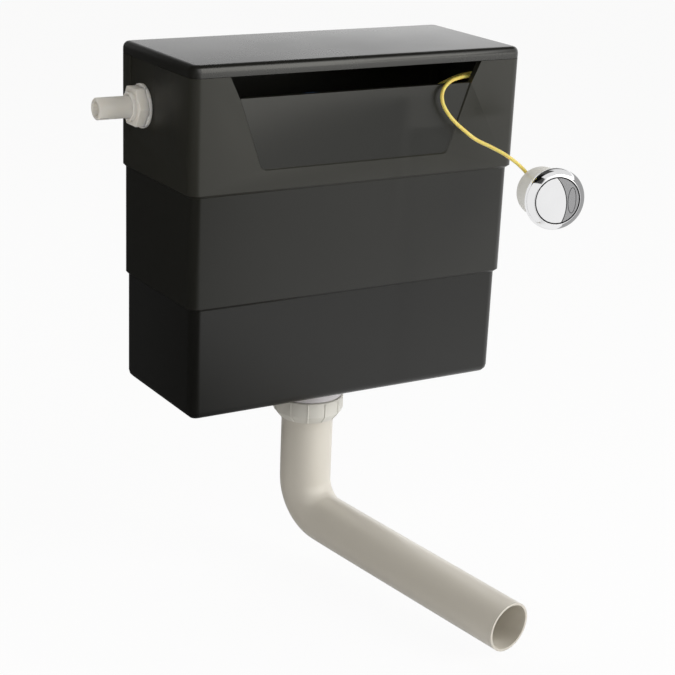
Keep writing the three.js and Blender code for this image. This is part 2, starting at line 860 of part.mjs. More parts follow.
// Float cup, open below, with a hub on the rod
const floatCup = turned(
  [
    [rodGrip, -floatCupDrop],
    [floatCupRadius, -floatCupDrop],
    [floatCupRadius, -floatCupDrop - floatCupHeight],
    [floatCupRadius - floatCupWall, -floatCupDrop - floatCupHeight],
    [floatCupRadius - floatCupWall, -floatCupDrop - floatCupWall],
    [floatHubRadius, -floatCupDrop - floatCupWall],
    [floatHubRadius, -floatCupDrop - floatHubHeight],
    [rodGrip, -floatCupDrop - floatHubHeight],
  ],
  mediumSides,
);
addPiece("float_cup", floatCup.translate(armReach, 0, 0), whitePlastic, armFrame);

// Drop tube, from its socket to just above the floor
const dropTubeTop = inletZ - dropEnd + dropSocketGrip - seatGap;
const dropTube = sleeve(dropTubeBore, dropTubeRadius, tankFloor + dropTubeFloorGap, dropTubeTop, mediumSides);
addPiece("drop_tube", dropTube.translate(-padInner + dropAt, inletY, 0), whitePlastic);

// Places shapes on the flush valve's own line, measured up from the tank floor
const outletFrame = new THREE.Matrix4().makeTranslation(outletX, outletY, tankFloor);
const baseWasherTop = seatGap + baseWasherThickness;
const baseLow = baseWasherTop + seatGap;
const baseTop = baseLow + baseFlangeThickness;
const seatTop = baseTop + seatHeight;
const cageTop = baseTop + cageHeight;
const tailLow = -wall - outletTailLength;

// Flush valve base: threaded tail, flange, seat, and the cage that carries the housing
const baseShape = turned(
  [
    [outletBoreRadius, tailLow],
    [outletThreadRadius, tailLow],
    [outletThreadRadius, baseLow],
    [baseFlangeRadius, baseLow],
    [baseFlangeRadius, baseTop],
    [seatRadius, baseTop],
    [seatRadius, seatTop],
    [seatBore, seatTop],
    [seatBore, baseTop],
    [outletBoreRadius, baseLow],
  ],
  largeSides,
);
const cageLeg = block(
  new THREE.Vector3(cageInnerRadius + cageLegInset, -cageLegWidth / 2, baseLow + seatGap),
  new THREE.Vector3(cageRadius - cageLegInset, cageLegWidth / 2, cageTop - seatGap),
);
const cageTopRing = sleeve(cageInnerRadius, cageRadius, cageTop - cageRing, cageTop, largeSides);
const flushValveBase = join(baseShape, cageTopRing, ...around(cageLeg, cageLegs));
addPiece("flush_valve_base", flushValveBase, whitePlastic, outletFrame);

const threadGrip = outletThreadRadius + seatGap;
const baseWasher = sleeve(threadGrip, baseWasherRadius, seatGap, baseWasherTop, largeSides);
addPiece("base_washer", baseWasher, rubber, outletFrame);

// Valve housing: windowed tube with a shoulder and the guide of the core
const housingLow = cageTop + seatGap;
const shoulderLow = housingLow + housingHeight;
const guideLow = shoulderLow + housingShoulder;
const guideTop = guideLow + guideHeight;
const housingInner = housingRadius - housingWall;
const guideInner = guideRadius - housingWall;
const guideBore = coreRadius + guideGap;
const housingShape = turned(
  [
    [housingInner, housingLow],
    [cageRadius, housingLow],
    [cageRadius, housingLow + housingRing],
    [housingRadius, housingLow + housingRing],
    [housingRadius, shoulderLow],
    [guideRadius, guideLow],
    [guideRadius, guideTop],
    [guideBore, guideTop],
    [guideBore, guideTop - guideLip],
    [guideInner, guideTop - guideLip],
    [guideInner, guideLow],
    [housingInner, shoulderLow],
  ],
  largeSides,
);
const housingWindow = block(
  new THREE.Vector3(guideRadius, -windowWidth / 2, housingLow + windowSill),
  new THREE.Vector3(housingRadius + overrun, windowWidth / 2, housingLow + windowSill + windowHeight),
);
const valveHousing = cut(solidOf(housingShape), ...around(housingWindow, windowCount));
addPiece("valve_housing", valveHousing, whitePlastic, outletFrame);

// Moving core: the overflow tube with its foot, and the lip that holds the seal
const sealLow = seatTop + seatGap;
const sealTop = sealLow + sealThickness;
const footLow = sealTop + seatGap;
const footTop = footLow + coreFootThickness;
const coreTop = guideTop + coreAbove;
const coreBore = coreRadius - coreWall;
const bossRadius = sealBore - seatGap;
const overflowTube = turned(
  [
    [coreBore, seatTop - retainerThickness],
    [sealBore + retainerReach, seatTop - retainerThickness],
    [sealBore + retainerReach, seatTop],
    [bossRadius, seatTop],
    [bossRadius, footLow],
    [coreFootRadius, footLow],
    [coreFootRadius, footTop],
    [coreRadius, footTop + coreFootCone],
    [coreRadius, coreTop],
    [coreBore, coreTop],
  ],
  largeSides,
);
addPiece("overflow_tube", overflowTube, bluePlastic, outletFrame);
const coreSeal = sleeve(sealBore, seatRadius + sealOverlap, sealLow, sealTop, largeSides);
addPiece("core_seal", coreSeal, rubber, outletFrame);

const coreGrip = coreRadius + seatGap;
const floatLow = footTop + coreFloatRise;
const floatTop = floatLow + coreFloatHeight;
const coreFloat = turned(
  [
    [coreGrip, floatLow],
    [coreGrip + coreFloatWall, floatLow],
    [coreGrip + coreFloatWall, floatTop - coreFloatWall],
    [coreFloatRadius - coreFloatWall, floatTop - coreFloatWall],
    [coreFloatRadius - coreFloatWall, floatLow],
    [coreFloatRadius, floatLow],
    [coreFloatRadius, floatTop],
    [coreGrip, floatTop],
  ],
  largeSides,
);
addPiece("core_float", coreFloat, whitePlastic, outletFrame);

// Actuator platform: disc on two posts, with the socket of the air tube
const platformLow = coreTop + coreLift + platformRoom;
const platformTop = platformLow + platformThickness;
const socketHeight = (platformLow + platformTop) / 2;
const platformPosts = [-1, 1].map((side) => {
  const centre = side * (guideRadius - postThickness / 2);
  return block(
    new THREE.Vector3(centre - postThickness / 2, -postWidth / 2, guideTop + seatGap),
    new THREE.Vector3(centre + postThickness / 2, postWidth / 2, platformTop),
  );
});
const actuatorPlatform = cut(
  join(
    bar(platformRadius, platformLow, platformTop, mediumSides),
    block(
      new THREE.Vector3(-guideRadius, -postWidth / 2, platformLow),
      new THREE.Vector3(guideRadius, postWidth / 2, platformTop),
    ),
    alongX(bar(airSocketRadius, platformRadius, airSocketReach, smallSides)).translate(0, 0, socketHeight),
    ...platformPosts,
  ),
  alongX(bar(airBore, 0, airSocketReach + overrun, smallSides)).translate(0, 0, socketHeight),
  bar(airBore, socketHeight, platformTop + overrun, smallSides),
);
addPiece("actuator_platform", actuatorPlatform, bluePlastic, outletFrame);

const actuatorLow = platformTop + seatGap;
const actuatorTop = actuatorLow + actuatorBellowsHeight;
const actuatorBellows = bellows(actuatorBellowsRadius, actuatorLow, actuatorTop, mediumSides);
addPiece("actuator_bellows", actuatorBellows, rubber, outletFrame);

// Lift yoke: cap on the bellows, two rods, and the ring that grips the core
const yokeCapLow = actuatorTop + seatGap;
const yokeCapTop = yokeCapLow + yokeCapThickness;
const yokeRingLow = guideTop + yokeRingRise;
const yokeRingTop = yokeRingLow + yokeRingHeight;
const yokeOuter = coreGrip + yokeRingWall;
const yokeRod = bar(yokeRingWall / 2, yokeRingLow + seatGap, yokeCapTop - seatGap, smallSides);
const yokeRodAt = (coreGrip + yokeOuter) / 2;
const liftYoke = join(
  bar(yokeOuter, yokeCapLow, yokeCapTop, mediumSides),
  sleeve(coreGrip, yokeOuter, yokeRingLow, yokeRingTop, mediumSides),
  yokeRod.clone().translate(0, -yokeRodAt, 0),
  yokeRod.clone().translate(0, yokeRodAt, 0),
);
addPiece("lift_yoke", liftYoke, bluePlastic, outletFrame);

// Outlet back nut under the tank floor
const backNutTop = -wall - seatGap;
const backNutLow = backNutTop - backNutHeight;
const outletBackNut = turned(
  [
    [threadGrip, backNutLow],
    [backNutRadius - backNutChamfer, backNutLow],
    [backNutRadius, backNutLow + backNutChamfer],
    [backNutRadius, backNutTop - backNutChamfer],
    [backNutRadius - backNutChamfer, backNutTop],
    [threadGrip, backNutTop],
  ],
  largeSides,
);
addPiece("outlet_back_nut", outletBackNut, whitePlastic, outletFrame);

// Ribbed coupling nut that holds the flush pipe's collar against its washer
const pipeWasherLow = tailLow - seatGap - pipeWasherThickness;
const pipeTop = pipeWasherLow - seatGap;
const collarLow = pipeTop - pipeCollarThickness;
const couplingTop = backNutLow - seatGap;
const couplingLow = couplingTop - couplingHeight;
const couplingShoulder = collarLow - seatGap;
const couplingTaperTop = couplingTop - couplingStraight;
function couplingProfile(inner, grow) {
  return [
    [inner, couplingLow],
    [couplingFootRadius + grow, couplingLow],
    [couplingRadius + grow, couplingTaperTop],
    [couplingRadius + grow, couplingTop],
    [inner, couplingTop],
  ];
}
const ribReach = couplingRadius + couplingRibHeight;
const couplingBars = around(
  block(
    new THREE.Vector3(threadGrip, -couplingRibWidth / 2, couplingLow),
    new THREE.Vector3(ribReach + overrun, couplingRibWidth / 2, couplingTop),
  ),
  couplingRibs,
);
const ribZone = solidOf(turned(couplingProfile(0, couplingRibHeight), largeSides));
const ribs = couplingBars.reduce(
  (whole, one) => whole.add(solidOf(one).intersect(ribZone)),
  ribZone.subtract(ribZone),
);
const couplingNut = cut(
  solidOf(turned(couplingProfile(0, 0), largeSides)).add(ribs),
  bar(threadGrip, couplingShoulder, couplingTop + overrun, largeSides),
  bar(pipeRadius + runningGap, couplingLow - overrun, couplingTop, largeSides),
);
addPiece("coupling_nut", couplingNut, palePlastic, outletFrame);

const pipeWasher = sleeve(outletBoreRadius, pipeCollarRadius, pipeWasherLow, tailLow - seatGap, largeSides);
addPiece("pipe_washer", pipeWasher, rubber, outletFrame);

// Centre line of the flush pipe, as points with the direction across the bend's plane
const pipeDown = new THREE.Vector3(0, 0, -1);
const pipeOut = new THREE.Vector3(Math.sin(pipeTurn), -Math.cos(pipeTurn), 0)
  .multiplyScalar(Math.cos(pipeSlope))
  .addScaledVector(pipeDown, Math.sin(pipeSlope));
const pipeSide = new THREE.Vector3().crossVectors(pipeDown, pipeOut).normalize();
function pipeStation(centre, along, outer) {
  const across = new THREE.Vector3().crossVectors(pipeSide, along);
  return { centre, across, outer, inner: pipeLowerRadius - pipeWall };
}
function pipeStations() {
  const bend = pipeDown.angleTo(pipeOut);
  const reach = pipeBendRadius * Math.tan(bend / 2);
  const node = new THREE.Vector3(0, 0, -wall - pipeNodeDepth);
  const bendStart = node.clone().addScaledVector(pipeDown, -reach);
  const inward = new THREE.Vector3().crossVectors(pipeSide, pipeDown);
  const middle = bendStart.clone().addScaledVector(inward, pipeBendRadius);
  const stations = [
    pipeStation(new THREE.Vector3(0, 0, pipeTop), pipeDown, pipeCollarRadius),
    pipeStation(new THREE.Vector3(0, 0, collarLow), pipeDown, pipeCollarRadius),
    pipeStation(new THREE.Vector3(0, 0, collarLow), pipeDown, pipeRadius),
  ];
  for (let i = 0; i <= bendSteps; i += 1) {
    const share = i / bendSteps;
    const along = pipeDown.clone().applyAxisAngle(pipeSide, bend * share);
    const centre = bendStart.clone().sub(middle).applyAxisAngle(pipeSide, bend * share).add(middle);
    stations.push(pipeStation(centre, along, THREE.MathUtils.lerp(pipeRadius, pipeLowerRadius, share)));
  }
  const end = node.clone().addScaledVector(pipeOut, pipeLowerLength);
  stations.push(pipeStation(end, pipeOut, pipeLowerRadius));
  return stations;
}

// A pipe wall through stations, closed at both ends.
function pipeShape(stations, sides) {
  const outside = stations.map(({ centre, across, outer }) => ({ centre, across, radius: outer }));
  const inside = stations.map(({ centre, across, inner }) => ({ centre, across, radius: inner })).reverse();
  const rings = [...outside, ...inside];
  const points = [];
  for (const { centre, across, radius } of rings) {
    for (let i = 0; i < sides; i += 1) {
      const angle = (i / sides) * fullTurn;
      const point = centre.clone().addScaledVector(across, radius * Math.cos(angle));
      points.push(...point.addScaledVector(pipeSide, radius * Math.sin(angle)));
    }
  }
  const faces = [];
  for (let ring = 0; ring < rings.length; ring += 1) {
    const nextRing = (ring + 1) % rings.length;
    for (let i = 0; i < sides; i += 1) {
      const next = (i + 1) % sides;
      const corners = [ring * sides + i, ring * sides + next, nextRing * sides + next, nextRing * sides + i];
      faces.push(corners[0], corners[1], corners[2], corners[0], corners[2], corners[3]);
    }
  }
  const geometry = new THREE.BufferGeometry();
  geometry.setAttribute("position", new THREE.Float32BufferAttribute(points, 3));
  geometry.setIndex(faces);
  return geometry;
}
addPiece("flush_pipe", pipeShape(pipeStations(), largeSides), palePlastic, outletFrame);

// Places shapes on the button's own line, measured outwards from the bezel's lip
const buttonFrame = new THREE.Matrix4()
  .makeRotationZ(-buttonTurn)
  .multiply(new THREE.Matrix4().makeRotationX(quarterTurn - buttonTilt))
  .setPosition(buttonX, buttonY, buttonZ);

// Bezel: domed ring, well, barrel, and the shelf that guides the two stems
const domeStart = wellRadius + bezelLip;
const bezelProfile = [
  [wellRadius, -wellDepth],
  [wellRadius, -bezelLip],
];
for (let i = 0; i <= domeSteps; i += 1) {
  const angle = (i / domeSteps) * quarterTurn;
  const radius = domeStart + (bezelRadius - domeStart) * Math.sin(angle);
  bezelProfile.push([radius, -bezelDome * (1 - Math.cos(angle))]);
}
const bezelSeat = bezelDepth - bezelSeatDepth;
const bezelSeatRadius = bezelBarrelRadius + seatGap + buttonHousingWall + runningGap;
const barrelEnd = bezelDepth + bezelBarrelLength;
const barrelInner = bezelBarrelRadius - bezelBarrelWall;
bezelProfile.push(
  [bezelRadius, -bezelDepth + bezelChamfer],
  [bezelRadius - bezelChamfer, -bezelDepth],
  [bezelSeatRadius, -bezelDepth],
  [bezelSeatRadius, -bezelSeat],
  [bezelBarrelRadius, -bezelSeat],
  [bezelBarrelRadius, -barrelEnd],
  [barrelInner, -barrelEnd],
  [barrelInner, -wellDepth],
);
function spun(geometry, x) {
  return geometry.translate(x, 0, 0).rotateZ(buttonSpin);
}
const shelfRadius = (barrelInner + bezelBarrelRadius) / 2;
const buttonBezel = cut(
  join(
    turned(bezelProfile, largeSides),
    bar(shelfRadius, -shelfDepth - shelfThickness, -shelfDepth, largeSides),
  ),
  spun(bar(largeStemRadius + runningGap, -barrelEnd, -wellDepth, smallSides), largeStemX),
  spun(bar(smallStemRadius + runningGap, -barrelEnd, -wellDepth, smallSides), smallStemX),
);
addPiece("button_bezel", buttonBezel, chrome, buttonFrame);

// The two buttons, parted by an arc, each with its stem
const buttonTop = -buttonSink;
const buttonLow = buttonTop - buttonThickness;
const stemEnd = buttonLow - stemLength;
const wholeButton = solidOf(bar(buttonRadius, buttonLow, buttonTop, largeSides));
const largeSide = bar(divideRadius - seatGap, stemEnd, overrun, divideSides).translate(-divideOffset, 0, 0);
const smallCutter = bar(divideRadius + seatGap, stemEnd, overrun, divideSides).translate(-divideOffset, 0, 0);
function stem(radius, x) {
  return bar(radius, stemEnd, buttonTop - buttonThickness / 2, smallSides).translate(x, 0, 0);
}
const spinFrame = buttonFrame.clone().multiply(new THREE.Matrix4().makeRotationZ(buttonSpin));
const largeButton = wholeButton.intersect(solidOf(largeSide)).add(solidOf(stem(largeStemRadius, largeStemX)));
const smallStem = solidOf(stem(smallStemRadius, smallStemX));
const smallButton = wholeButton.subtract(solidOf(smallCutter)).add(smallStem);
addPiece("large_button", largeButton, chrome, spinFrame);
addPiece("small_button", smallButton, chrome, spinFrame);

// Springs round the stems, between the shelf and the buttons
function stemSpring(radius, x) {
  const low = -shelfDepth + seatGap + springWire;
  const high = buttonLow - seatGap - springWire;
  const helix = new Helix(radius + springRoom, low, high, springTurns);
  return drawnAlong(helix, springWire, springSides, springTurns * springTurnSteps).translate(x, 0, 0);
}
addPiece("large_spring", stemSpring(largeStemRadius, largeStemX), springSteel, spinFrame);
addPiece("small_spring", stemSpring(smallStemRadius, smallStemX), springSteel, spinFrame);

// Housing behind the bezel, with the two bellows on its floor
const housingFront = -bezelSeat - seatGap;
const housingInside = bezelBarrelRadius + seatGap;
const housingOutside = housingInside + buttonHousingWall;
const housingFloor = -housingRear + housingRearWall;
const housingProfile = [
  [0, -housingRear],
];
for (let i = 0; i <= filletSteps; i += 1) {
  const angle = (i / filletSteps) * quarterTurn;
  const radius = housingOutside - housingRearFillet * (1 - Math.sin(angle));
  housingProfile.push([radius, -housingRear + housingRearFillet * (1 - Math.cos(angle))]);
}
housingProfile.push(
  [housingOutside, housingFront],
  [housingInside, housingFront],
  [housingInside, housingFloor],
  [0, housingFloor],
);
const buttonHousing = cut(
  solidOf(turned(housingProfile, largeSides)),
  spun(bar(airPortRadius, -housingRear - overrun, 0, smallSides), largeStemX),
  spun(bar(airPortRadius, -housingRear - overrun, 0, smallSides), smallStemX),
);
addPiece("button_housing", buttonHousing, palePlastic, buttonFrame);

const bellowsLow = housingFloor + seatGap;
const bellowsTop = stemEnd - seatGap;
const largeBellows = bellows(largeBellowsRadius, bellowsLow, bellowsTop, mediumSides);
const smallBellows = bellows(smallBellowsRadius, bellowsLow, bellowsTop, smallSides);
addPiece("large_bellows", largeBellows.translate(largeStemX, 0, 0), rubber, spinFrame);
addPiece("small_bellows", smallBellows.translate(smallStemX, 0, 0), rubber, spinFrame);

// Elbow on the housing's back: disc, air chamber, and the socket of the air tube
const elbowFront = -housingRear - seatGap;
const elbowAxis = -housingRear - elbowDrop;
function elbowBar(radius, low, high) {
  const upright = bar(radius, low, high, smallSides).rotateX(-quarterTurn);
  return upright.rotateZ(elbowLean).translate(0, 0, elbowAxis);
}
const housingElbow = cut(
  join(
    bar(elbowDiscRadius, elbowFront - elbowDiscThickness, elbowFront, mediumSides),
    elbowBar(airSocketRadius, -airSocketRadius, elbowReach),
  ),
  bar(elbowDiscRadius - elbowChamberWall, elbowFront - elbowChamberDepth, elbowFront + overrun, mediumSides),
  elbowBar(airBore, 0, elbowReach + overrun),
  bar(airBore, elbowAxis, elbowFront, smallSides),
);
addPiece("housing_elbow", housingElbow, palePlastic, buttonFrame);

// Air tube, from the actuator's socket through the access slot to the elbow
const tubeStart = new THREE.Vector3(airSocketReach + seatGap, 0, socketHeight).applyMatrix4(outletFrame);
const elbowOut = new THREE.Vector3(-Math.sin(elbowLean), Math.cos(elbowLean), 0);
const tubeEndPlace = elbowOut.clone().multiplyScalar(elbowReach + seatGap);
const tubeEnd = tubeEndPlace.setZ(elbowAxis).applyMatrix4(buttonFrame);
const tubeLead = elbowOut
  .clone()
  .multiplyScalar(elbowReach + airTubeStraight)
  .setZ(elbowAxis)
  .applyMatrix4(buttonFrame);
const tubeRoute = [
  [42, -73.8, -36],
  [60, -75, -34.5],
  [78, -77, -30],
  [96, -80, -23],
  [113, -84, -13],
  [128, -90, -3],
  [140, -99, 5],
  [145.1, -111.3, 9.8],
  [144.2, -123.6, 12],
  [137.5, -134.5, 13],
  [125.4, -140.1, 13.3],
  [115.6, -143.1, 13.7],
  [105.5, -147.6, 13.5],
  [97.3, -150.6, 12.4],
  [90.9, -153.1, 9.9],
  [85.6, -155.1, 5.9],
  [83.2, -156.6, 1.1],
  [83.1, -157.6, -4.4],
  [84.8, -158.6, -9.7],
  [88, -159.6, -15.3],
  [92.4, -160.6, -20.9],
  [98.4, -162.1, -27],
  [104.8, -163.2, -32.3],
  [119.2, -166.1, -43],
  [134.4, -170.9, -50.6],
  [150.6, -177, -59.9],
];
const tubeMiddle = tubeRoute.map(([x, y, z]) => new THREE.Vector3(x, y, z));
const tubePoints = [tubeStart, ...tubeMiddle, tubeLead, tubeEnd];
const tubeCurve = new THREE.CatmullRomCurve3(tubePoints);
addPiece("air_tube", drawnAlong(tubeCurve, airTubeRadius, airTubeSides, airTubeSteps), yellowTube);

export default part;
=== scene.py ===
"""Looks of a concealed toilet cistern.

A black tank, a pale flush pipe, and a chrome push button on a yellow air tube.
"""

import math

import bmesh
import bpy
from mathutils import Matrix, Vector


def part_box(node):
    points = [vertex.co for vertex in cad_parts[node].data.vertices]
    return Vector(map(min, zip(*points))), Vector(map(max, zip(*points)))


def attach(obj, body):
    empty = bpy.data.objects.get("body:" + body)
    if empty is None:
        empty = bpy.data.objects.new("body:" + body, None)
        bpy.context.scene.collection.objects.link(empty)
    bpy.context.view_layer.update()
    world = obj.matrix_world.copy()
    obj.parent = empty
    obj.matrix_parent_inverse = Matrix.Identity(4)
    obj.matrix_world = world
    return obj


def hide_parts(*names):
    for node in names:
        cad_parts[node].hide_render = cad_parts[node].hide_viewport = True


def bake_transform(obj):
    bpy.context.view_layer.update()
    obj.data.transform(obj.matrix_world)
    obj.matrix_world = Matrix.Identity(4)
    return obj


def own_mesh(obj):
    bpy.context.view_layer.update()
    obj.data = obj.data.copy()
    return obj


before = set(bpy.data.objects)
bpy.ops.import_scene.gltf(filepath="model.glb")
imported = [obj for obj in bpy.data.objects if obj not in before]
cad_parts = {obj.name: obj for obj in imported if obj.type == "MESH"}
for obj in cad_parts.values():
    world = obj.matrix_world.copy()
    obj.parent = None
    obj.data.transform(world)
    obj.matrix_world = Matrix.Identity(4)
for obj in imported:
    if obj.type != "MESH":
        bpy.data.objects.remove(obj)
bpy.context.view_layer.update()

MM = 0.001
FULL_TURN = math.tau
SHARP = math.radians(35)
WHITE_LIGHT = (1, 1, 1)

# Heights of the two steps between the tank's tiers
STEP_ONE = -77.6 * MM
STEP_TWO = -184.8 * MM


# Making objects

def add_object(name, data):
    made = bpy.data.objects.new(name, data)
    bpy.context.collection.objects.link(made)
    return made


def as_mesh(name, bm):
    mesh = bpy.data.meshes.new(name)
    bm.to_mesh(mesh)
    bm.free()
    return mesh


def moved_verts(made):
    """The vertices in what an extrusion made."""
    return [item for item in made if isinstance(item, bmesh.types.BMVert)]


# Camera at the photograph's viewing angle

def make_camera():
    lens_data = bpy.data.cameras.new("camera")
    lens_data.sensor_width = 36
    lens_data.lens = 95.69
    lens_data.clip_end = 20
    camera = add_object("camera", lens_data)
    right = Vector((0.8562, -0.5151, 0.0402)).normalized()
    forward = Vector((0.5000, 0.8065, -0.3155)).normalized()
    up = right.cross(forward).normalized()
    right = forward.cross(up).normalized()
    turn = Matrix((right, up, -forward)).transposed().to_4x4()
    camera.matrix_world = Matrix.Translation((-0.87845, -1.53878, 0.31416)) @ turn
    bpy.context.scene.camera = camera


make_camera()


# Air tube, along the same route as its solid

TUBE_RADIUS = 1.8 * MM

# A handle is as long as its span divided by this, as in Blender's own smooth handles
HANDLE_DIVISOR = 2.5614

TUBE_ROUTE = [
    (29.8, -73.8, -36), (42, -73.8, -36), (60, -75, -34.5), (78, -77, -30), (96, -80, -23), (113, -84, -13),
    (128, -90, -3), (140, -99, 5), (145.1, -111.3, 9.8), (144.2, -123.6, 12), (137.5, -134.5, 13),
    (125.4, -140.1, 13.3), (115.6, -143.1, 13.7), (105.5, -147.6, 13.5), (97.3, -150.6, 12.4),
    (90.9, -153.1, 9.9), (85.6, -155.1, 5.9), (83.2, -156.6, 1.1), (83.1, -157.6, -4.4),
    (84.8, -158.6, -9.7), (88, -159.6, -15.3), (92.4, -160.6, -20.9), (98.4, -162.1, -27),
    (104.8, -163.2, -32.3), (119.2, -166.1, -43), (134.4, -170.9, -50.6), (150.6, -177, -59.9),
    (168.4, -182.3, -74.7), (173.4, -184, -81.6),
]


def leaning(places, i):
    """Smooth handles before and after a point of the line."""
    here = places[i]
    after = places[i + 1] - here if i + 1 < len(places) else here - places[i - 1]
    before = here - places[i - 1] if i else after
    lean = (before.normalized() + after.normalized()).normalized()
    return here - lean * before.length / HANDLE_DIVISOR, here + lean * after.length / HANDLE_DIVISOR


def make_air_tube():
    """The tube's radius is on its points, because a curve's bounds grow by the radius of each point."""
    curve = bpy.data.curves.new("air_tube_line", "CURVE")
    curve.dimensions = "3D"
    curve.bevel_depth = 1.0
    curve.bevel_resolution = 6
    curve.resolution_u = 8
    curve.use_fill_caps = True
    spline = curve.splines.new("BEZIER")
    spline.bezier_points.add(len(TUBE_ROUTE) - 1)
    places = [Vector(place) * MM for place in TUBE_ROUTE]
    for i, point in enumerate(spline.bezier_points):
        point.handle_left_type = point.handle_right_type = "FREE"
        point.co = places[i]
        point.handle_left, point.handle_right = leaning(places, i)
        point.radius = TUBE_RADIUS
    tube = add_object("air_tube_line", curve)
    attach(tube, "cistern")
    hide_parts("air_tube")
    return tube


air_tube = make_air_tube()


# Shader nodes written as expressions

class Socket:
    """A node's output that plain operators can work on."""

    def __init__(self, maker, output):
        self.maker = maker
        self.output = output

    def _maths(self, operation, *values):
        return self.maker.node("ShaderNodeMath", {"operation": operation}, dict(enumerate(values)))

    def __add__(self, other):
        return self._maths("ADD", self, other)

    def __radd__(self, other):
        return self._maths("ADD", other, self)

    def __mul__(self, other):
        return self._maths("MULTIPLY", self, other)


class Nodes:
    """A node tree and one way to add to it."""

    def __init__(self, tree):
        self.tree = tree

    def node(self, kind, settings=None, values=None, output=0):
        made = self.tree.nodes.new(kind)
        for key, value in (settings or {}).items():
            setattr(made, key, value)
        for key, value in (values or {}).items():
            self.put(made.inputs[key], value)
        return Socket(self, made.outputs[output])

    def put(self, socket, value):
        if isinstance(value, Socket):
            self.tree.links.new(value.output, socket)
        else:
            socket.default_value = value

    def between(self, low, high, amount, start=0.0, stop=1.0):
        """Goes smoothly from low to high while the amount goes from start to stop."""
        return self.node(
            "ShaderNodeMapRange", {"interpolation_type": "SMOOTHSTEP"},
            {"Value": amount, "From Min": start, "From Max": stop, "To Min": low, "To Max": high},
        )

    def lean(self, vector, direction):
        """How far a vector points along a direction, from -1 to 1."""
        unit = self.node("ShaderNodeVectorMath", {"operation": "NORMALIZE"}, {0: vector})
        return self.node("ShaderNodeVectorMath", {"operation": "DOT_PRODUCT"}, {0: unit, 1: direction}, "Value")

    def ray(self, kind):
        return self.node("ShaderNodeLightPath", output=kind)

    def glow(self, colour, strength):
        return self.node("ShaderNodeEmission", {}, {"Color": (*colour, 1), "Strength": strength})

    def backdrop(self, colour, strength):
        return self.node("ShaderNodeBackground", {}, {"Color": (*colour, 1), "Strength": strength})

    def blended(self, amount, first, second):
        return self.node("ShaderNodeMixShader", {}, {0: amount, 1: first, 2: second})

    def show(self, shader, output="Material Output"):
        self.put(self.tree.nodes[output].inputs["Surface"], shader)


class Finish(Nodes):
    """One material and the nodes in it."""

    def __init__(self, name):
        self.material = bpy.data.materials.new(name)
        self.material.use_nodes = True
        super().__init__(self.material.node_tree)
        self.shader = self.tree.nodes["Principled BSDF"]

    def shade(self, **values):
        for key, value in values.items():
            self.put(self.shader.inputs[key.replace("_", " ").title().replace("Ior", "IOR")], value)

    def place(self):
        return self.node("ShaderNodeTexCoord", output="Object")

    def along(self, axis):
        return self.node("ShaderNodeSeparateXYZ", {}, {"Vector": self.place()}, axis)

    def noise(self, scale, detail, roughness, stretch=(1, 1, 1)):
        vector = self.node("ShaderNodeMapping", {}, {"Vector": self.place(), "Scale": stretch})
        return self.node(
            "ShaderNodeTexNoise", {},
            {"Vector": vector, "Scale": scale, "Detail": detail, "Roughness": roughness},
        )

    def tint(self, first, second, amount):
        ends = [colour if isinstance(colour, Socket) else (*colour, 1) for colour in (first, second)]
        return self.node(
            "ShaderNodeMix", {"data_type": "RGBA"}, {"Factor": amount, 6: ends[0], 7: ends[1]}, output=2
        )

    def bump(self, height, distance, strength):
        return self.node("ShaderNodeBump", {}, {"Height": height, "Distance": distance, "Strength": strength})


# Stretches of the noise for marks that run along the object's height
FLOW_STRETCH = (1, 1, 0.25)
BRUSH_STRETCH = (1, 1, 12)

# Where the rougher left side of the tank ends
SIDE_START = -177 * MM
SIDE_STOP = -169 * MM
SIDE_ROUGHNESS = 0.25
FLOW_COLOUR = (0.016, 0.016, 0.013)


def moulded_plastic(name, colour, shade, gloss, grain, grain_scale, **constants):
    """Injection moulding: faint flow marks in the colour, uneven gloss, and a fine spark-eroded grain."""
    finish = Finish(name)
    cloud = finish.noise(14, 3, 0.55)
    flow = finish.noise(9, 4, 0.6, FLOW_STRETCH)
    fine = finish.noise(grain_scale, 2, 0.5)
    finish.shade(
        base_color=finish.tint(colour, shade, flow * 0.6 + cloud * 0.4),
        roughness=finish.between(gloss - 0.05, gloss + 0.07, cloud * 0.6 + fine * 0.4),
        normal=finish.bump(fine, grain, 0.35),
        **constants,
    )
    return finish.material


def black_moulding(name, tier_light_tones, gloss, index):
    """Black moulding with a tone for each tier, from the bottom up: painted light, lighter towards the top where
    more light falls. Its left side is rougher.
    """
    finish = Finish(name)
    height = finish.along("Z")
    second = finish.between(0.0, 1.0, height, STEP_TWO - 3 * MM, STEP_TWO + 1 * MM)
    third = finish.between(0.0, 1.0, height, STEP_ONE - 3 * MM, STEP_ONE + 1 * MM)
    # The tier tones are painted light: each tier's colour stands in for the light that falls on it.
    painted_tier_light = finish.tint(finish.tint(tier_light_tones[0], tier_light_tones[1], second), tier_light_tones[2], third)
    cloud = finish.noise(6, 3, 0.55)
    flow = finish.noise(5, 4, 0.6, FLOW_STRETCH)
    fine = finish.noise(420, 2, 0.5)
    side = finish.between(SIDE_ROUGHNESS, 0.0, finish.along("X"), SIDE_START, SIDE_STOP)
    finish.shade(
        base_color=finish.tint(painted_tier_light, FLOW_COLOUR, 0.05 + flow * 0.2),
        roughness=finish.between(gloss - 0.04, gloss + 0.05, cloud * 0.8 + fine * 0.2) + side,
        normal=finish.bump(fine, 0.00002, 0.12),
        ior=index,
    )
    return finish.material


def plated_metal(name, colour, gloss, brushed=False):
    """Plating or bare metal, with faint polishing marks."""
    finish = Finish(name)
    marks = finish.noise(260, 3, 0.5, BRUSH_STRETCH) if brushed else finish.noise(45, 3, 0.5)
    finish.shade(
        base_color=finish.tint(colour, [c * 0.94 for c in colour], marks),
        roughness=finish.between(gloss, gloss + 0.05, marks),
        metallic=1.0,
        normal=finish.bump(marks, 0.00001, 0.1),
    )
    return finish.material


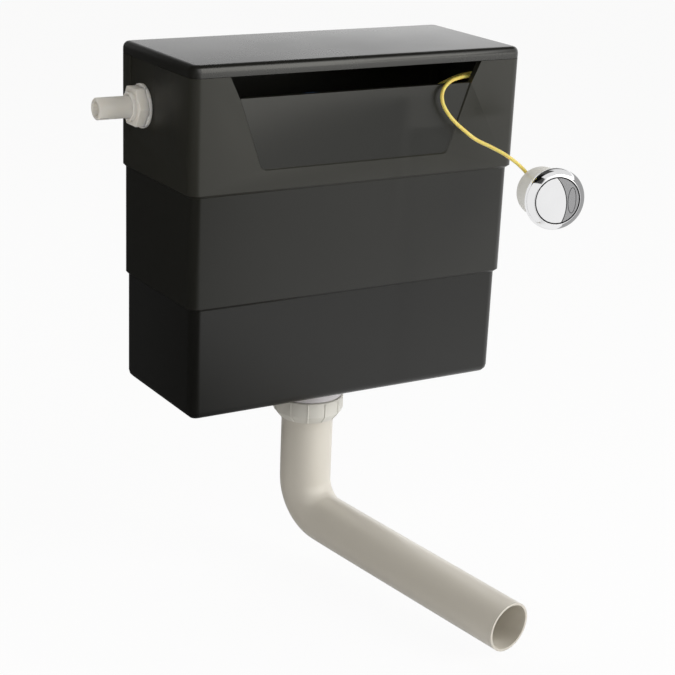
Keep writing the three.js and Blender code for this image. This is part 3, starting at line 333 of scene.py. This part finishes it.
def soft_rubber(name):
    finish = Finish(name)
    bloom = finish.noise(60, 4, 0.6)
    fine = finish.noise(1500, 2, 0.5)
    finish.shade(
        base_color=finish.tint((0.018, 0.018, 0.019), (0.045, 0.044, 0.043), bloom),
        roughness=finish.between(0.68, 0.85, bloom),
        normal=finish.bump(fine, 0.00003, 0.4),
    )
    return finish.material


def clear_yellow_tube(name):
    finish = Finish(name)
    along = finish.noise(55, 3, 0.5)
    finish.shade(
        base_color=finish.tint((0.80, 0.66, 0.17), (0.64, 0.49, 0.09), along),
        roughness=finish.between(0.26, 0.38, along),
        normal=finish.bump(finish.noise(900, 1, 0.5), 0.00002, 0.2),
        subsurface_weight=0.15,
        subsurface_scale=0.002,
    )
    return finish.material


# The tank's tier tones, darkest at the bottom and lightest at the top, are painted light.
BLACK = black_moulding(
    "black_tank_plastic_with_painted_tier_light", ((0.005, 0.005, 0.004), (0.0105, 0.0105, 0.008), (0.020, 0.0197, 0.0145)), 0.31, 1.47
)
# The recess panel's darker tone is painted shade in the recess.
RECESS_SHADE_BLACK = black_moulding("black_panel_painted_shade", ((0.010, 0.0102, 0.0080),) * 3, 0.34, 1.44)
LID_BLACK = black_moulding("black_lid_plastic", ((0.006, 0.0058, 0.004),) * 3, 0.27, 1.64)
PIPE = moulded_plastic("ivory_pipe_plastic", (0.71, 0.675, 0.605), (0.66, 0.625, 0.55), 0.30, 0.00002, 500)
NUT = moulded_plastic("ivory_nut_plastic", (0.75, 0.735, 0.68), (0.70, 0.685, 0.625), 0.34, 0.00003, 600)
INLET = moulded_plastic(
    "grey_white_nylon", (0.77, 0.745, 0.69), (0.71, 0.68, 0.62), 0.42, 0.00004, 700,
    subsurface_weight=0.8, subsurface_scale=0.009, subsurface_radius=(1.0, 0.95, 0.85),
)
WHITE = moulded_plastic("white_valve_plastic", (0.76, 0.735, 0.755), (0.70, 0.675, 0.69), 0.33, 0.00003, 600)
BLUE = moulded_plastic("blue_valve_plastic", (0.055, 0.16, 0.36), (0.045, 0.13, 0.30), 0.36, 0.00003, 600)
RUBBER = soft_rubber("black_rubber")
CHROME = plated_metal("chrome_plate", (0.90, 0.90, 0.905), 0.06)
SATIN = plated_metal("satin_chrome_plate", (0.37, 0.37, 0.375), 0.18)
# Dark plating for painted shade: the gap round the buttons and the oval groove on the small button.
GROOVE_SHADE = plated_metal("painted_groove_shade", (0.04, 0.04, 0.042), 0.3)
STEEL = plated_metal("spring_wire", (0.55, 0.56, 0.57), 0.22, True)
BRASS = plated_metal("brass_pin", (0.62, 0.44, 0.18), 0.2, True)
YELLOW = clear_yellow_tube("clear_yellow_tube")
air_tube.data.materials.append(YELLOW)


# Places of the part's own frames

OUTLET = Matrix.Translation(Vector((-2.5, -73.8, -288.2)) * MM)
BUTTON = (
    Matrix.Translation(Vector((167.4, -237.1, -91.2)) * MM)
    @ Matrix.Rotation(math.radians(-15.7), 4, "Z")
    @ Matrix.Rotation(math.radians(88), 4, "X")
)
BUTTON_SPUN = BUTTON @ Matrix.Rotation(math.radians(9), 4, "Z")


# Making and finishing pieces

MERGE = 0.002 * MM
SPUN_MERGE = 0.001 * MM
BEVEL_SEGMENTS = 3


def finished(bm, name, nodes, body, material, place=None, bevel=0.0, fine=0):
    """Turns a mesh in the making into a piece that stands for its nodes."""
    if place is not None:
        bmesh.ops.transform(bm, matrix=place, verts=bm.verts)
    mesh = as_mesh(name, bm)
    mesh.materials.append(material)
    mesh.shade_smooth()
    mesh.set_sharp_from_angle(angle=SHARP)
    piece = add_object(name, mesh)
    if bevel:
        edge = piece.modifiers.new("soft edges", "BEVEL")
        edge.width = bevel * MM
        edge.segments = BEVEL_SEGMENTS
        edge.limit_method = "ANGLE"
        edge.angle_limit = SHARP
        edge.harden_normals = True
        edge.use_clamp_overlap = True
        edge.miter_outer = "MITER_ARC"
    if fine:
        surface = piece.modifiers.new("fine surface", "SUBSURF")
        surface.levels = surface.render_levels = fine
    if body:
        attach(piece, body)
    if nodes:
        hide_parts(*nodes)
    return piece


def turned(profile, sides=96):
    """A closed profile of (radius, height) in millimetres, spun round Z."""
    bm = bmesh.new()
    spots = [bm.verts.new((radius * MM, 0, height * MM)) for radius, height in profile]
    lines = [bm.edges.new(pair) for pair in zip(spots, spots[1:] + spots[:1])]
    bmesh.ops.spin(
        bm, geom=spots + lines, cent=(0, 0, 0), axis=(0, 0, 1), angle=FULL_TURN, steps=sides, use_merge=True
    )
    bmesh.ops.remove_doubles(bm, verts=bm.verts, dist=SPUN_MERGE)
    bmesh.ops.dissolve_degenerate(bm, edges=bm.edges, dist=SPUN_MERGE / 2)
    bmesh.ops.recalc_face_normals(bm, faces=bm.faces)
    return bm


def merged(node):
    """A copy of a solid whose doubled vertices are one."""
    bm = bmesh.new()
    bm.from_mesh(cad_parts[node].data)
    bmesh.ops.remove_doubles(bm, verts=bm.verts, dist=MERGE)
    return bm


def copied(node):
    """A merged copy of a solid with its flat faces whole again."""
    bm = merged(node)
    bmesh.ops.dissolve_limit(bm, angle_limit=math.radians(0.5), verts=bm.verts, edges=bm.edges)
    return bm


def rounded(node):
    """A copy of a solid whose facets a subdivision rounds, with its sharp edges kept."""
    bm = merged(node)
    bmesh.ops.join_triangles(
        bm, faces=bm.faces, angle_face_threshold=math.radians(2), angle_shape_threshold=math.radians(179)
    )
    crease = bm.edges.layers.float.get("crease_edge") or bm.edges.layers.float.new("crease_edge")
    for edge in bm.edges:
        if len(edge.link_faces) == 2 and edge.calc_face_angle(0) > SHARP:
            edge[crease] = 1.0
    return bm


# Tank and lid, with the soft edges of a moulding

RECESS_FLOOR = -147.4 * MM
RECESS_RAISE = 2.3 * MM
SLOT_LOW = 9.1 * MM


def make_tank():
    """The shell, with its recess made as shallow as the photo shows it, and its recess floor set apart for a
    darker material of painted shade.
    """
    bm = copied("tank")
    for vert in bm.verts:
        in_recess = STEP_ONE < vert.co.z < SLOT_LOW + 0.5 * MM
        if abs(vert.co.y - RECESS_FLOOR) < 0.05 * MM and in_recess:
            vert.co.y = RECESS_FLOOR - RECESS_RAISE
    bm.normal_update()
    # Faces on the recess floor take the second material: painted shade in the recess.
    for face in bm.faces:
        middle = face.calc_center_median()
        on_floor = abs(middle.y - RECESS_FLOOR + RECESS_RAISE) < 0.1 * MM
        if on_floor and middle.z > STEP_ONE and face.normal.y < -0.9:
            face.material_index = 1
    return bm


tank_shell = finished(make_tank(), "tank_shell", ["tank"], "cistern", BLACK, bevel=0.9)
tank_shell.data.materials.append(RECESS_SHADE_BLACK)

LID_CORNER = 9.5 * MM
RIM_GROWTH = 3.7
RIM_FILLET = 1.5
RIM_MARGIN = 0.05


def make_lid():
    """The cover, with its narrow top rounding widened over the whole rim."""
    bm = copied("lid")
    low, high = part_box("lid")
    middle = (Vector(low) + Vector(high)) / 2
    flat = (Vector(high) - Vector(low)) / 2 - Vector((LID_CORNER, LID_CORNER, 0))
    for vert in bm.verts:
        drop = high[2] - vert.co.z
        if drop > (RIM_FILLET + RIM_MARGIN) * MM:
            continue
        away = Vector([
            math.copysign(max(abs(vert.co[i] - middle[i]) - flat[i], 0), vert.co[i] - middle[i])
            for i in range(2)
        ])
        inset = LID_CORNER - away.length
        vert.co.z = high[2] - drop * RIM_GROWTH
        if away.length > 0:
            vert.co.xy -= away.normalized() * inset * (RIM_GROWTH - 1)
    bm.normal_update()
    rim_low = high[2] - (RIM_FILLET * RIM_GROWTH + 0.2) * MM
    rim = [
        e for e in bm.edges
        if len(e.link_faces) == 2 and min(v.co.z for v in e.verts) > rim_low
        and abs(e.verts[0].co.z - e.verts[1].co.z) < 0.01 * MM and 0.1 < e.calc_face_angle(0) < 0.9
    ]
    bmesh.ops.bevel(
        bm, geom=rim, offset=1.1 * MM, offset_type="OFFSET", segments=2, profile=0.5, affect="EDGES", material=-1
    )
    return bm


finished(make_lid(), "lid_cover", ["lid"], "lid", LID_BLACK, bevel=0.4)


# Inlet nut, and the pieces that only need their facets rounded

finished(
    copied("inlet_back_nut"), "inlet_nut", ["inlet_back_nut"], "cistern", INLET, bevel=1.5
)

for node, body, material, slot in [
    ("fill_valve_body", "cistern", INLET, "white_plastic"),
    ("inlet_washer", "cistern", RUBBER, "rubber"),
    ("valve_diaphragm", "cistern", RUBBER, "rubber"),
    ("fill_valve_cap", "cistern", BLUE, "blue_plastic"),
    ("arm_pivot_pin", "cistern", BRASS, "brass"),
    ("float_arm", "float", BLUE, "blue_plastic"),
    ("float_rod", "float", WHITE, "white_plastic"),
    ("float_rod_nut", "float", BLUE, "blue_plastic"),
    ("float_cup", "float", WHITE, "white_plastic"),
    ("drop_tube", "cistern", WHITE, "white_plastic"),
    ("flush_valve_base", "cistern", WHITE, "white_plastic"),
    ("base_washer", "cistern", RUBBER, "rubber"),
    ("valve_housing", "cistern", WHITE, "white_plastic"),
    ("overflow_tube", "flush_core", BLUE, "blue_plastic"),
    ("core_seal", "flush_core", RUBBER, "rubber"),
    ("core_float", "flush_core", WHITE, "white_plastic"),
    ("actuator_platform", "cistern", BLUE, "blue_plastic"),
    ("lift_yoke", "flush_core", BLUE, "blue_plastic"),
    ("pipe_washer", "cistern", RUBBER, "rubber"),
    ("large_spring", "cistern", STEEL, "spring_steel"),
    ("small_spring", "cistern", STEEL, "spring_steel"),
    ("large_bellows", "cistern", RUBBER, "rubber"),
    ("small_bellows", "cistern", RUBBER, "rubber"),
]:
    finished(rounded(node), node + "_fine", [node], body, material, fine=2)

# The actuator's bellows rides on no one body: it stretches between two
bellows = finished(
    rounded("actuator_bellows"), "actuator_bellows_fine", ["actuator_bellows"], None, RUBBER, fine=2
)
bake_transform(bellows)

# Springs and button bellows each get a mesh of their own; the table lists each one's press joint and its fixed
# and moving ends, which the loop doesn't use.
SPRING_ENDS = (-18.7, -3.2)
BELLOWS_ENDS = (-43.7, -27.1)
for name, joint, (fixed_end, moving_end) in [
    ("large_spring", "full_flush_press", SPRING_ENDS),
    ("small_spring", "half_flush_press", SPRING_ENDS),
    ("large_bellows", "full_flush_press", BELLOWS_ENDS),
    ("small_bellows", "half_flush_press", BELLOWS_ENDS),
]:
    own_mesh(bpy.data.objects[name + "_fine"])


# Outlet nuts

finished(
    turned([(30.1, -24.4), (33.2, -24.4), (34, -23.6), (34, -6.1), (33.2, -5.3), (30.1, -5.3)]),
    "outlet_nut", ["outlet_back_nut"], "cistern", WHITE, OUTLET, bevel=0.4,
)

RIB_COUNT = 12
RIB_WIDTH = 1.7
RIB_HEIGHT = 0.7
RIB_ROUNDING = 0.42


def make_grip_rib():
    """One grip rib of the coupling nut: a bar whose back follows the nut's side, with a round crest."""
    bm = bmesh.new()
    line = [
        (27.5, -47.9), (28.6 + RIB_HEIGHT, -47.6), (34.9 + RIB_HEIGHT, -39.9), (34.9 + RIB_HEIGHT, -25.6),
        (31.5, -25.2),
    ]
    side = bm.faces.new([bm.verts.new((r * MM, -RIB_WIDTH / 2 * MM, z * MM)) for r, z in line])
    made = bmesh.ops.extrude_face_region(bm, geom=[side])["geom"]
    bmesh.ops.translate(bm, verts=moved_verts(made), vec=(0, RIB_WIDTH * MM, 0))
    bmesh.ops.recalc_face_normals(bm, faces=bm.faces)
    crest = [
        e for e in bm.edges
        if min(v.co.x for v in e.verts) > 28.4 * MM and e.calc_face_angle(0) > 0.5
    ]
    bmesh.ops.bevel(
        bm, geom=crest, offset=RIB_WIDTH * RIB_ROUNDING * MM, offset_type="OFFSET", segments=4, profile=0.5,
        affect="EDGES", material=-1, clamp_overlap=True,
    )
    return bm


def make_coupling():
    """Turned nut with a smooth tapered foot, and slim ribs round it."""
    bm = turned([
        (26.8, -48.3), (27.6, -48.3), (28.3, -47.6), (34.6, -40.2), (34.9, -39.4), (34.9, -25.4), (34.3, -24.8),
        (30.1, -24.8), (30.1, -39.2), (26.8, -39.2),
    ])
    rib_mesh = as_mesh("grip_rib", make_grip_rib())
    for i in range(RIB_COUNT):
        first = len(bm.verts)
        bm.from_mesh(rib_mesh)
        bm.verts.ensure_lookup_table()
        turn = Matrix.Rotation(i * FULL_TURN / RIB_COUNT, 4, "Z")
        bmesh.ops.transform(bm, matrix=turn, verts=bm.verts[first:])
    bpy.data.meshes.remove(rib_mesh)
    return bm


finished(make_coupling(), "coupling", ["coupling_nut"], "cistern", NUT, OUTLET)


# Flush pipe

finished(rounded("flush_pipe"), "pipe", ["flush_pipe"], "pipe", PIPE, fine=2)


# Push button

DOME_STEPS = 14
BEZEL_SIDES = 128
BEZEL_LEAN = math.radians(17)
# Inner lip of the bezel painted dark as the shade of the gap round the buttons
GAP_SHADE_RADIUS = 22.9
GAP_SHADE_DEPTH = -8
SHELF_RADIUS = 20.6
SHELF_LOW = -21.5
SHELF_HIGH = -18.5


def dome(start, reach, drop, lean):
    """A dome's outline that leaves its inner edge already sloping."""
    points = []
    for i in range(DOME_STEPS + 1):
        angle = lean + (FULL_TURN / 4 - lean) * i / DOME_STEPS
        out = (math.sin(angle) - math.sin(lean)) / (1 - math.sin(lean))
        points.append((start + reach * out, -drop * (1 - math.cos(angle) / math.cos(lean))))
    return points


def make_shelf():
    """The solid's flat shelf that the stems pass through, alone and unturned."""
    shelf = copied("button_bezel")
    bmesh.ops.transform(shelf, matrix=BUTTON_SPUN.inverted(), verts=shelf.verts)
    rest = [
        v for v in shelf.verts
        if v.co.xy.length > SHELF_RADIUS * MM or not SHELF_LOW * MM < v.co.z < SHELF_HIGH * MM
    ]
    bmesh.ops.delete(shelf, geom=rest, context="VERTS")
    return as_mesh("shelf", shelf)


def make_bezel():
    """Domed ring with its barrel and shelf, with the inner lip round the buttons painted dark as the shade in
    the gap.
    """
    bm = turned([(22.4, -7.6), (22.4, -0.5), (22.8, -0.1)] + dome(22.95, 7.05, 8.2, BEZEL_LEAN) + [
        (30, -9.1), (29.3, -9.8), (25, -9.8), (25, -9.2), (22.2, -9.2), (22.2, -27.3), (20.4, -27.3),
        (20.4, -7.6),
    ], BEZEL_SIDES)
    # Faces of the inner lip and upper wall take the dark material: painted shade in the gap round the buttons.
    for face in bm.faces:
        middle = face.calc_center_median()
        if middle.xy.length < GAP_SHADE_RADIUS * MM and middle.z > GAP_SHADE_DEPTH * MM:
            face.material_index = 1
    shelf_mesh = make_shelf()
    bm.from_mesh(shelf_mesh)
    bpy.data.meshes.remove(shelf_mesh)
    return bm


bezel = finished(make_bezel(), "bezel", ["button_bezel"], "cistern", CHROME, BUTTON_SPUN)
bezel.data.materials.append(GROOVE_SHADE)
finished(
    copied("large_button"), "large_cap", ["large_button"], "full_flush_button", CHROME, bevel=0.45
)
finished(
    copied("small_button"), "small_cap", ["small_button"], "half_flush_button", SATIN, bevel=0.35
)

OVAL_MIDDLE = 14.7
OVAL_HALF_WIDTH = 4.3
OVAL_HALF_LENGTH = 12.6
OVAL_LINE = 0.6
OVAL_THICKNESS = 0.06
OVAL_LEVEL = -0.23


def make_oval_line():
    """A thin dark oval ring on the small button's face: painted shade standing in for the shade of a groove."""
    bm = bmesh.new()
    edge = bmesh.ops.create_circle(bm, cap_ends=True, segments=64, radius=MM)["verts"]
    bmesh.ops.scale(bm, vec=(OVAL_HALF_WIDTH, OVAL_HALF_LENGTH, 1), verts=edge)
    face = list(bm.faces)[0]
    bmesh.ops.inset_region(
        bm, faces=[face], thickness=OVAL_LINE * MM, use_boundary=True, use_even_offset=True
    )
    bmesh.ops.delete(bm, geom=[face], context="FACES_ONLY")
    made = bmesh.ops.extrude_face_region(bm, geom=list(bm.faces))["geom"]
    bmesh.ops.translate(bm, verts=moved_verts(made), vec=(0, 0, OVAL_THICKNESS * MM))
    bmesh.ops.recalc_face_normals(bm, faces=bm.faces)
    bmesh.ops.translate(bm, verts=bm.verts, vec=Vector((OVAL_MIDDLE, 0, OVAL_LEVEL)) * MM)
    return bm


# The oval ring is painted shade of a groove.
finished(make_oval_line(), "oval_line", [], "half_flush_button", GROOVE_SHADE, BUTTON)

finished(
    turned([
        (0, -47), (22.2, -47), (23.6, -46.4), (24.3, -45.2), (24.5, -43.8), (24.5, -9.8), (24.2, -9.5),
        (22.5, -9.5), (22.5, -44), (0, -44),
    ]),
    "housing_cup", ["button_housing"], "cistern", NUT, BUTTON,
)
finished(rounded("housing_elbow"), "elbow", ["housing_elbow"], "cistern", NUT, fine=2)


# Floor, light and background

OPEN_SIDE = (0.996, -0.087, 0.0)
BRIGHT_CORNER = (0.766, 0.643, 0)
DIM_ABOVE = (0, 0.35, 0.937)
FLOOR_HEIGHT = -0.49
FLOOR_SIZE = 30
DARK_MIRROR = 0.05


def make_floor():
    """A white floor whose mirror image is white on the open side and dark on the other."""
    bm = bmesh.new()
    bmesh.ops.create_grid(bm, x_segments=1, y_segments=1, size=FLOOR_SIZE)
    bmesh.ops.translate(bm, verts=bm.verts, vec=(0, 0, FLOOR_HEIGHT))
    floor = add_object("floor", as_mesh("floor", bm))
    paint = Finish("white_floor")
    paint.shade(base_color=(0.85, 0.85, 0.85, 1), roughness=0.9)
    seen, mirrored = paint.ray("Is Camera Ray"), paint.ray("Is Glossy Ray")
    open_side = paint.between(DARK_MIRROR, 0.97, paint.lean(paint.place(), OPEN_SIDE), -0.25, 0.3)
    glow = paint.glow(WHITE_LIGHT, seen + mirrored * open_side)
    painted = Socket(paint, paint.shader.outputs[0])
    paint.show(paint.blended(seen * 0.94 + mirrored, painted, glow))
    floor.data.materials.append(paint.material)


def make_world():
    """White behind the object, a soft warm fill, and a studio that mirrors bright on its open side."""
    world = bpy.data.worlds.new("studio")
    bpy.context.scene.world = world
    world.use_nodes = True
    sky = Nodes(world.node_tree)
    seen, mirrored = sky.ray("Is Camera Ray"), sky.ray("Is Glossy Ray")
    direction = sky.node("ShaderNodeTexCoord", output="Generated")
    open_side = sky.between(DARK_MIRROR, 1.0, sky.lean(direction, OPEN_SIDE), -0.35, -0.15)
    corner = sky.between(1.2, 1.62, sky.lean(direction, BRIGHT_CORNER), 0.9, 0.97)
    above = sky.between(1.0, 0.06, sky.lean(direction, DIM_ABOVE), 0.5, 0.68)
    fill = sky.backdrop((1.0, 0.93, 0.83), 0.22)
    white = sky.backdrop(WHITE_LIGHT, seen * 0.965 + mirrored * (open_side * corner * above))
    sky.show(sky.blended(seen + mirrored, fill, white), "World Output")


def soft_light(name, place, aim, size, power):
    """An area lamp that lights the object and isn't mirrored in it."""
    data = bpy.data.lights.new(name, "AREA")
    data.shape = "RECTANGLE"
    data.size, data.size_y = size
    data.energy = power
    lamp = add_object(name, data)
    lamp.visible_glossy = False
    look = (Vector(aim) - Vector(place)).to_track_quat("-Z", "Y")
    lamp.matrix_world = Matrix.Translation(place) @ look.to_matrix().to_4x4()


def mirror_card(name, low, high, strength, fill=False, colour=WHITE_LIGHT):
    """A flat card that shows only in reflections, and as soft fill where it is asked for."""
    bm = bmesh.new()
    size = Vector(high) - Vector(low)
    thin = list(size).index(0)
    bmesh.ops.create_grid(bm, x_segments=1, y_segments=1, size=0.5)
    if thin < 2:
        upright = Matrix.Rotation(math.radians(90), 3, "YX"[thin])
        bmesh.ops.rotate(bm, verts=bm.verts, cent=(0, 0, 0), matrix=upright)
    middle = Matrix.Translation((Vector(low) + Vector(high)) / 2 * MM)
    bmesh.ops.transform(bm, matrix=middle @ Matrix.Diagonal(size * MM).to_4x4(), verts=bm.verts)
    card = add_object(name, as_mesh(name, bm))
    paint = Finish(name)
    paint.show(paint.glow(colour, strength))
    card.data.materials.append(paint.material)
    card.visible_camera = card.visible_transmission = card.visible_shadow = False
    card.visible_diffuse = fill
    card.visible_volume_scatter = False


make_floor()
make_world()
soft_light("right_softbox", (1.6, -1.6, 0.5), (0, -0.1, -0.15), (1.2, 1.8), 38)
soft_light("top_softbox", (0.2, 1.0, 1.5), (0, -0.1, -0.1), (1.8, 1.0), 12)
soft_light("front_softbox", (-0.9, -2.2, 0.9), (0, -0.1, -0.15), (1.4, 1.0), 6)
soft_light("inlet_softbox", (-0.62, -0.5, 0.1), (-0.2, -0.05, -0.01), (0.3, 0.3), 1.3)
mirror_card("card_left", (60, -500, -400), (60, -170, 0), 0.92, fill=True)
mirror_card("card_above", (83, -382, 60), (188, -246, 60), 0.86, fill=True)
mirror_card("card_beside", (188, -382, 60), (366, -152, 60), 0.82, fill=True)
mirror_card("card_right", (228, -345, -215), (228, -205, -45), 0.38)
mirror_card("card_behind", (60, -165, -400), (300, -165, -30), 0.9)
mirror_card("long_softbox", (300, -2000, -100), (2500, -2000, 2400), 3.0, colour=(1, 0.985, 0.93))

bpy.context.scene.view_settings.view_transform = "Standard"
